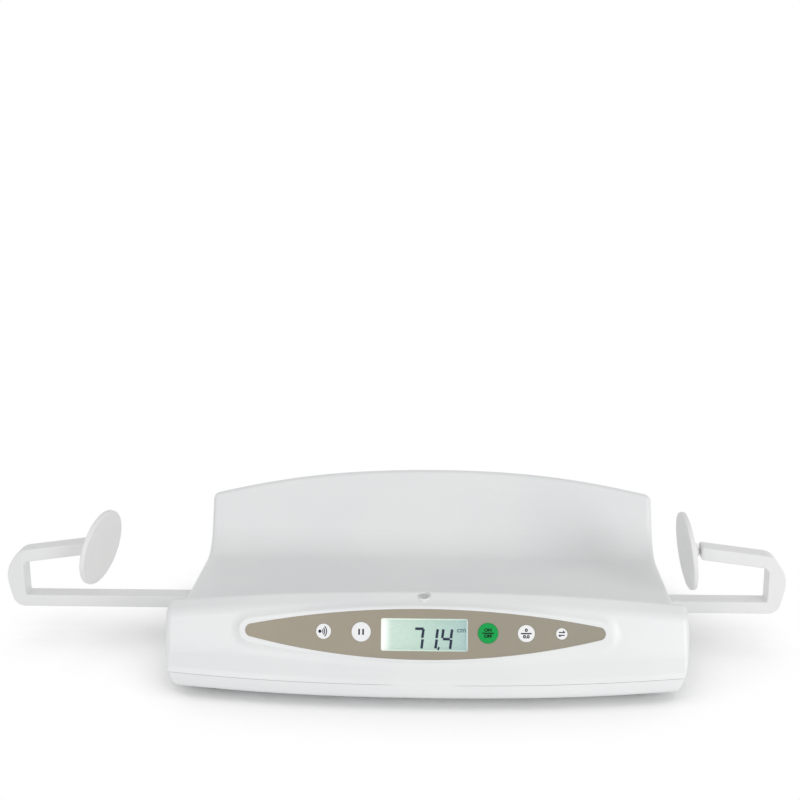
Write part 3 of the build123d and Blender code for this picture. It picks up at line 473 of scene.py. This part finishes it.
def fascia_place(x, height, depth):
    """The frame of a spot on the fascia: across, up the slope, and out of its face."""
    drop = FASCIA_RADIUS - sqrt(FASCIA_RADIUS ** 2 - x ** 2)
    turn = asin(x / FASCIA_RADIUS)
    spot = FASCIA_MIDDLE + FASCIA_ACROSS * x + FASCIA_UP * height + FASCIA_OUT * (depth - drop)
    along = FASCIA_ACROSS * cos(turn) - FASCIA_OUT * sin(turn)
    normal = FASCIA_OUT * cos(turn) + FASCIA_ACROSS * sin(turn)
    axes = Matrix((along, FASCIA_UP, normal)).transposed().to_4x4()
    return Matrix.Translation(spot * MM) @ axes


def bar_mark(length, width, x, height, lean=0.0, pointed=0.45):
    """A flat stroke with bevelled ends, drawn lying down and then turned."""
    nothing_selected()
    bpy.ops.mesh.primitive_cube_add(size=1)
    bar = bpy.context.object
    bar.data.transform(Matrix.Diagonal((length * MM, width * MM, LEGEND_THICKNESS * MM, 1)))
    bpy.ops.object.mode_set(mode="EDIT")
    shape = bmesh.from_edit_mesh(bar.data)
    for edge in shape.edges:
        across = edge.verts[0].co - edge.verts[1].co
        edge.select_set(abs(across.z) > abs(across.x) + abs(across.y))
    bmesh.update_edit_mesh(bar.data)
    bpy.ops.mesh.bevel(offset=pointed * width * MM, segments=1, affect="EDGES")
    bpy.ops.object.mode_set(mode="OBJECT")
    turned = Matrix.Rotation(lean, 4, "Z")
    bar.data.transform(Matrix.Translation((x * MM, height * MM, 0)) @ turned)
    return bar


# Share of a dot's radius that its softened rim takes
DOT_RIM = 0.12


def dot_mark(radius, x, height):
    """A round flat dot with a softened rim."""
    nothing_selected()
    spot = (x * MM, height * MM, 0)
    bpy.ops.mesh.primitive_cylinder_add(
        vertices=32, radius=radius * MM, depth=LEGEND_THICKNESS * MM, location=spot
    )
    dot = bpy.context.object
    bpy.ops.object.mode_set(mode="EDIT")
    shape = bmesh.from_edit_mesh(dot.data)
    for face in shape.faces:
        face.select_set(face.normal.z > 0.9)
    bmesh.update_edit_mesh(dot.data)
    bpy.ops.mesh.inset(thickness=DOT_RIM * radius * MM)
    bpy.ops.object.mode_set(mode="OBJECT")
    return settle(dot, Matrix.Identity(4))


def arc_mark(radius, width, half_angle, x, height):
    """A flat arc round a point, open to the left: a short stroke spun about the middle."""
    nothing_selected()
    bpy.ops.mesh.primitive_plane_add(size=1)
    arc = bpy.context.object
    upright = Matrix.Rotation(pi / 2, 4, "X")
    stroke = Matrix.Diagonal((width * MM, 1, LEGEND_THICKNESS * MM, 1)) @ upright
    start = Matrix.Rotation(half_angle, 4, "Z") @ Matrix.Translation((radius * MM, 0, 0))
    arc.data.transform(start @ stroke)
    bpy.ops.object.mode_set(mode="EDIT")
    bpy.ops.mesh.select_all(action="SELECT")
    bpy.ops.mesh.spin(steps=20, angle=2 * half_angle, center=(0, 0, 0), axis=(0, 0, 1))
    bpy.ops.mesh.select_all(action="SELECT")
    bpy.ops.mesh.remove_doubles(threshold=1e-7)
    bpy.ops.mesh.normals_make_consistent(inside=False)
    bpy.ops.object.mode_set(mode="OBJECT")
    arc.data.transform(Matrix.Translation((x * MM, height * MM, 0)))
    return arc


def lettering(words, size, x, height, stretch=1.0, bolder=0.0):
    """Plain letters or numbers, centred on a spot, made a flat mesh."""
    nothing_selected()
    bpy.ops.object.text_add()
    text = bpy.context.object
    text.data.body = words
    text.data.align_x = "CENTER"
    text.data.align_y = "CENTER"
    text.data.size = size * MM
    text.data.extrude = LEGEND_THICKNESS / 2 * MM
    text.data.offset = bolder * MM
    text.data.resolution_u = 6
    only(text)
    bpy.ops.object.convert(target="MESH")
    text = bpy.context.object
    place = Matrix.Translation((x * MM, height * MM, 0)) @ Matrix.Diagonal((stretch, 1, 1, 1))
    return settle(text, place)


# ---- Display: figures that are switched on -----------------------------------------------------
SEGMENT_WIDTH, POINT_WIDTH = 2.8, 2.0
UNIT_SIZE, UNIT_SPOT = 7.6, (41.2, 4.8)


def stroke_between(start, end, width=SEGMENT_WIDTH):
    """One crystal segment between two spots of the display, in millimetres."""
    run = Vector(end) - Vector(start)
    middle = (Vector(start) + Vector(end)) / 2
    lean = Vector((1, 0)).angle_signed(run, 0.0)
    return bar_mark(run.length, width, middle.x, middle.y, -lean)


def display_figures():
    """The figures 71.4, each segment its own stroke, lying on the display cell with the unit."""
    strokes = [
        stroke_between((-9.6, 5.9), (-0.4, 5.9)),
        stroke_between((-0.4, 5.7), (-1.9, -4.0)),
        stroke_between((-1.4, -5.5), (-2.6, -15.4)),
        stroke_between((15.2, 5.6), (13.8, -4.0)),
        stroke_between((14.1, -5.5), (12.7, -15.2)),
        stroke_between((21.4, 5.6), (20.2, -4.0)),
        stroke_between((20.8, -5.0), (28.5, -5.0)),
        stroke_between((31.0, 5.6), (29.6, -4.0)),
        stroke_between((30.0, -5.5), (28.8, -15.6)),
        stroke_between((16.6, -13.6), (15.4, -16.8), POINT_WIDTH),
    ]
    figures = joined(strokes, "display_figures")
    take(figures, "display_figures", segment_navy)
    settle(figures, fascia_place(0, 0, LCD_FACE + LEGEND_THICKNESS / 2))
    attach(figures, "housing")
    unit = lettering("cm", UNIT_SIZE, *UNIT_SPOT, stretch=1.12, bolder=0.1)
    take(unit, "display_unit_mark", segment_grey)
    settle(unit, fascia_place(0, 0, LCD_FACE + LEGEND_THICKNESS / 2))
    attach(unit, "housing")


display_figures()


# ---- Legends printed on the keys ---------------------------------------------------------------
def legend(key, marks, material):
    """Puts the marks drawn about a key's middle on its cap; they move with the key."""
    name = key + "_legend"
    mark = take(joined(marks, name), name, material)
    settle(mark, fascia_place(KEYS[key], KEY_HEIGHT, KEY_FACE))
    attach(mark, "key_" + key)


# Ends of printed bars are cut off by this share of their width
PRINT_ENDS = 0.2

# Measure: a dot that sends out three waves, each given by its radius and half its spread
SENDER_X = -4.0
WAVES = (3.4, 36), (5.3, 43), (7.5, 47)
legend("measure", [dot_mark(1.8, SENDER_X, 0)] + [
    arc_mark(radius, 1.05, radians(spread), SENDER_X, 0) for radius, spread in WAVES
], legend_ink)
# Hold: two upright bars
legend("hold", [bar_mark(6.4, 1.8, x, 0, pi / 2, PRINT_ENDS) for x in (-2.2, 2.2)], legend_ink)
# Power: ON over OFF
legend("power", [
    lettering("ON", 4.6, 0, 3.3, 1.1, 0.24),
    bar_mark(12.6, 1.3, 0, 0, 0, PRINT_ENDS),
    lettering("OFF", 4.6, 0, -3.4, 1.1, 0.24),
], legend_black)
# Zero: 0 over 0.0
legend("zero", [
    lettering("0", 4.8, 0, 3.4, 1.2, 0.25),
    bar_mark(11.8, 1.4, 0, 0, 0, PRINT_ENDS),
    lettering("0.0", 4.8, 0, -3.5, 1.2, 0.25),
], legend_ink)
# Unit: two half arrows, there and back
BARB_LEAN = radians(-42)
legend("unit", [
    bar_mark(6.6, 1.1, 0, 1.5, 0, PRINT_ENDS), bar_mark(2.8, 1.1, 2.4, 2.4, BARB_LEAN, PRINT_ENDS),
    bar_mark(6.6, 1.1, 0, -1.5, 0, PRINT_ENDS),
    bar_mark(2.8, 1.1, -2.4, -2.4, BARB_LEAN, PRINT_ENDS),
], legend_ink)


# ---- Soft blend of the bezel into the front of the case ----------------------------------------
# The panel's pointed oval: half its length, how far its arcs bulge up and down, how high its
# middle lies, and the radius of its tips
PANEL_HALF = 223.5
PANEL_ABOVE, PANEL_BELOW, PANEL_RISE, PANEL_TIP = 24.4, 30.4, 3.0, 7.0
# How far from the panel's edge the blend starts and ends, less above the panel and least by the
# level, where it narrows over this half width
BLEND_START, BLEND_END, BLEND_TOP_END, BLEND_LEVEL_END = 3, 28, 15, 8
LEVEL_HALF_WIDTH = 26
# A direction counts as sideways up or straight up past these shares of its length
SIDE_UP, STRAIGHT_UP = 0.3, 0.9
# Radius of the ball that rolls in the crease, and a drop in height that is the case's edge
BLEND_BALL = 24
EDGE_DROP = 2.6
# The blend lies this far over the case where it fills, and under it where there's nothing to fill
FILLED_FROM, LIFT_OVER, LIFT_UNDER = 0.02, 0.01, -0.04
BLEND_ROWS = 26
SIDE_STATIONS, TIP_STATIONS = 110, 30
# Rays at the case start this far out, and where they miss it, its surface counts as this deep
RAY_START, NO_CASE = 12, -200.0


def panel_ring():
    """Spots round the panel's pointed oval, each with the direction that points away from it."""
    upper = (PANEL_HALF ** 2 + PANEL_ABOVE ** 2) / (2 * PANEL_ABOVE)
    lower = (PANEL_HALF ** 2 + PANEL_BELOW ** 2) / (2 * PANEL_BELOW)
    upper_y = PANEL_RISE + PANEL_ABOVE - upper
    lower_y = PANEL_RISE - PANEL_BELOW + lower
    near, far = upper - PANEL_TIP, lower - PANEL_TIP
    tip_y = (near ** 2 - far ** 2 + lower_y ** 2 - upper_y ** 2) / (2 * (lower_y - upper_y))
    tip_x = sqrt(near ** 2 - (tip_y - upper_y) ** 2)
    rising = atan2(tip_y - upper_y, tip_x)
    falling = atan2(tip_y - lower_y, tip_x)
    runs = [
        ((0, upper_y), upper, rising, pi - rising, SIDE_STATIONS),
        ((-tip_x, tip_y), PANEL_TIP, pi - rising, pi - falling, TIP_STATIONS),
        ((0, lower_y), lower, pi - falling, 2 * pi + falling, SIDE_STATIONS),
        ((tip_x, tip_y), PANEL_TIP, falling, rising, TIP_STATIONS),
    ]
    spots = []
    for (x, y), radius, start, end, count in runs:
        for step in range(count):
            turn = start + (end - start) * step / count
            away = Vector((cos(turn), sin(turn)))
            spots.append((Vector((x, y)) + away * radius, away))
    return spots


def fascia_spot(flat, height):
    """A place over the fascia's middle plane, in metres."""
    return (
        FASCIA_MIDDLE + FASCIA_ACROSS * flat.x + FASCIA_UP * flat.y + FASCIA_OUT * height
    ) * MM


def case_height(tree, flat):
    """How far out the case's surface lies at a spot of the fascia's middle plane."""
    start = fascia_spot(flat, RAY_START)
    hit = tree.ray_cast(start, -FASCIA_OUT)[0]
    return RAY_START - (start - hit).length / MM if hit else NO_CASE


def rolled(heights):
    """Fills the hollows that a ball can't reach in a line of heights, a millimetre apart."""
    count = len(heights)
    arc = [sqrt(BLEND_BALL ** 2 - step ** 2) for step in range(-BLEND_BALL, BLEND_BALL + 1)]

    def near(i):
        return range(max(0, i - BLEND_BALL), min(count, i + BLEND_BALL + 1))

    path = [max(heights[j] + arc[j - i + BLEND_BALL] for j in near(i)) for i in range(count)]
    return [min(path[j] - arc[j - i + BLEND_BALL] for j in near(i)) for i in range(count)]


def blend_profile(tree, spot, away):
    """The places of one line of the blend, from the bezel outwards."""
    reach = BLEND_END - (BLEND_END - BLEND_TOP_END) * max(0.0, away.y) ** 2
    if away.y > STRAIGHT_UP:
        by_level = max(0.0, 1 - (spot.x / LEVEL_HALF_WIDTH) ** 2)
        reach -= (BLEND_TOP_END - BLEND_LEVEL_END) * by_level
    heights = []
    for step in range(BLEND_END + BLEND_BALL + 1):
        height = case_height(tree, spot + away * max(step, 0.5))
        if step > 1 and (heights[-1] - height > EDGE_DROP or step > reach and away.y > SIDE_UP):
            # Past the case's edge the line runs straight on
            height = 2 * heights[-1] - heights[-2]
        heights.append(height)
    filled = rolled([heights[0]] * BLEND_BALL + heights)[BLEND_BALL:]
    line = []
    for row in range(BLEND_ROWS):
        distance = BLEND_START + (reach - BLEND_START) * row / (BLEND_ROWS - 1)
        whole = int(distance)
        height = filled[whole] + (filled[whole + 1] - filled[whole]) * (distance - whole)
        flat = spot + away * distance
        ground = case_height(tree, flat)
        lift = LIFT_OVER if height - ground > FILLED_FROM else LIFT_UNDER
        line.append(fascia_spot(flat, max(height, ground) + lift))
    return line


def bezel_blend():
    """A ring of case plastic that fills the crease round the bezel, drawn out from a circle."""
    spots = panel_ring()
    count = len(spots)
    shell = BVHTree.FromObject(cad_nodes["top_shell"], bpy.context.evaluated_depsgraph_get())
    nothing_selected()
    bpy.ops.mesh.primitive_circle_add(vertices=count, radius=1)
    ring = bpy.context.object
    bpy.ops.object.mode_set(mode="EDIT")
    for row in range(BLEND_ROWS - 1):
        bpy.ops.mesh.extrude_edges_move(TRANSFORM_OT_translate={"value": (0, 0, 1)})
    bpy.ops.object.mode_set(mode="OBJECT")
    lines = [blend_profile(shell, spot, away) for spot, away in spots]
    for vertex in ring.data.vertices:
        station = round(atan2(vertex.co.y, vertex.co.x) / (2 * pi) * count) % count
        vertex.co = lines[station][round(vertex.co.z)]
    only(ring)
    bpy.ops.object.shade_smooth()
    bpy.ops.object.mode_set(mode="EDIT")
    bpy.ops.mesh.select_all(action="SELECT")
    bpy.ops.mesh.normals_make_consistent(inside=False)
    bpy.ops.object.mode_set(mode="OBJECT")
    if ring.data.polygons[0].normal.y > 0:
        ring.data.flip_normals()
    take(ring, "bezel_blend", case_white)
    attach(ring, "housing")


bezel_blend()


# ---- Spirit level: air bubble and printed ring -------------------------------------------------
BUBBLE_RADIUS, BUBBLE_FLATNESS, BUBBLE_ASIDE = 1.9, 0.16, -3.3
RING_RADIUS, RING_WIDTH = 2.9, 0.35


def level_marks():
    """The printed ring lies in the middle of the vial, and the bubble to its left."""
    nothing_selected()
    bpy.ops.mesh.primitive_uv_sphere_add(segments=32, ring_count=16, radius=BUBBLE_RADIUS * MM)
    bubble = bpy.context.object
    bpy.ops.object.mode_set(mode="EDIT")
    bpy.ops.mesh.select_all(action="SELECT")
    bpy.ops.transform.resize(value=(1, 1, BUBBLE_FLATNESS))
    bpy.ops.object.mode_set(mode="OBJECT")
    bpy.ops.object.shade_smooth()
    take(bubble, "level_bubble", level_bubble)
    level = Matrix.Translation(LEVEL_MIDDLE * MM) @ Matrix.Rotation(LEVEL_LEAN, 4, "X")
    settle(bubble, level @ Matrix.Translation(Vector((BUBBLE_ASIDE, 0, 0)) * MM))
    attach(bubble, "housing")
    ring = arc_mark(RING_RADIUS, RING_WIDTH, pi - 0.01, 0, 0)
    settle(take(ring, "level_ring", legend_ink), level)
    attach(ring, "housing")


level_marks()


# ---- Floor, light and camera -------------------------------------------------------------------
# The floor is all in shadow where less than the first share of the sky is open to it within this
# reach, in metres, and plain white from the second share on
SHADOW_REACH = 0.16
SHADOW_DEPTH, SHADOW_END = 0.45, 0.88
# How strongly the white surroundings light the scale
SKY_LEVEL = 0.6


def seen_directly(tree):
    """1 where the camera, a reflection or clear plastic looks at this, otherwise 0."""
    path = add_node(tree, "LightPath")
    seen = path.outputs["Is Camera Ray"]
    for ray in ("Is Glossy Ray", "Is Transmission Ray"):
        seen = add_node(tree, "Math", {"operation": "MAXIMUM"}, _0=seen, _1=path.outputs[ray])
    return seen


def studio_floor():
    """A white floor that keeps the scale's soft shadow, where little of the sky is open to it."""
    nothing_selected()
    bpy.ops.mesh.primitive_plane_add(size=40, location=(0, 0, 0))
    floor = bpy.context.object
    floor.name = "studio_floor"
    material = bpy.data.materials.new("white_paper_sweep")
    material.use_nodes = True
    tree = material.node_tree
    tree.nodes.clear()
    paper = add_node(
        tree, "BsdfPrincipled", Base_Color=colour("#FFFFFF"), Roughness=0.9, Specular_IOR_Level=0.1
    )
    glow = add_node(tree, "Emission", Color=colour("#FFFFFF"), Strength=1.0)
    sky = add_node(tree, "AmbientOcclusion", {"samples": 16}, Distance=SHADOW_REACH)
    plain = add_node(
        tree, "MapRange", Value=sky.outputs["AO"], From_Min=SHADOW_DEPTH, From_Max=SHADOW_END
    )
    share = add_node(tree, "Math", {"operation": "MULTIPLY"}, _0=seen_directly(tree), _1=plain)
    mix = add_node(tree, "MixShader", _0=share, _1=paper, _2=glow)
    add_node(tree, "OutputMaterial", Surface=mix)
    floor.data.materials.append(material)


def studio_world(level):
    """Even light from all round, white where it is seen or mirrored."""
    world = bpy.data.worlds.new("studio_world")
    bpy.context.scene.world = world
    world.use_nodes = True
    tree = world.node_tree
    tree.nodes.clear()
    strength = add_node(tree, "MapRange", Value=seen_directly(tree), To_Min=level, To_Max=1.0)
    light = add_node(tree, "Background", Color=colour("#FFFFFF"), Strength=strength)
    add_node(tree, "OutputWorld", Surface=light)


# Both soft boxes are 1.8 m squares turned to the middle of the scale
LAMP_SIZE, LAMP_AIM = 1.8, (0, 0, 0.05)


def soft_box(name, place, power):
    """A large soft lamp at a place, in metres."""
    lamp = bpy.data.lights.new(name, "AREA")
    lamp.shape = "RECTANGLE"
    lamp.size = lamp.size_y = LAMP_SIZE
    lamp.energy = power
    holder = bpy.data.objects.new(name, lamp)
    bpy.context.scene.collection.objects.link(holder)
    holder.location = place
    aim = Vector(LAMP_AIM) - Vector(place)
    holder.rotation_euler = aim.to_track_quat("-Z", "Y").to_euler()


# The camera's place in millimetres, its yaw, pitch and roll in degrees, and its focal length in
# pixels of an image this wide
CAMERA_PLACE = Vector((82.1, -1379.0, 651.4))
CAMERA_TURNS = (2.876, 14.215, -0.575)
FOCAL_PIXELS, IMAGE_WIDTH, SENSOR_WIDTH = 1201.8, 800, 36


def set_camera():
    """The camera: where it stands, which way it looks, and its lens."""
    yaw, pitch, roll = (radians(turn) for turn in CAMERA_TURNS)
    forward = Vector((-sin(yaw) * cos(pitch), cos(yaw) * cos(pitch), -sin(pitch)))
    level_right = Vector((cos(yaw), sin(yaw), 0))
    level_up = level_right.cross(forward)
    right = level_right * cos(roll) + level_up * sin(roll)
    up = right.cross(forward)
    camera = bpy.data.cameras.new("camera")
    camera.sensor_width = SENSOR_WIDTH
    camera.lens = FOCAL_PIXELS / IMAGE_WIDTH * SENSOR_WIDTH
    camera.clip_end = 100
    holder = bpy.data.objects.new("camera", camera)
    bpy.context.scene.collection.objects.link(holder)
    axes = Matrix((right, up, -forward)).transposed().to_4x4()
    holder.matrix_world = Matrix.Translation(CAMERA_PLACE * MM) @ axes
    bpy.context.scene.camera = holder


studio_floor()
studio_world(SKY_LEVEL)
# Low and well to the sides, so that neither is mirrored in the panel
soft_box("front_right_lamp", (2.9, -2.7, 1.2), 42)
soft_box("front_left_lamp", (-1.8, -3.5, 1.2), 21)
set_camera()
bpy.context.scene.view_settings.view_transform = "Standard"
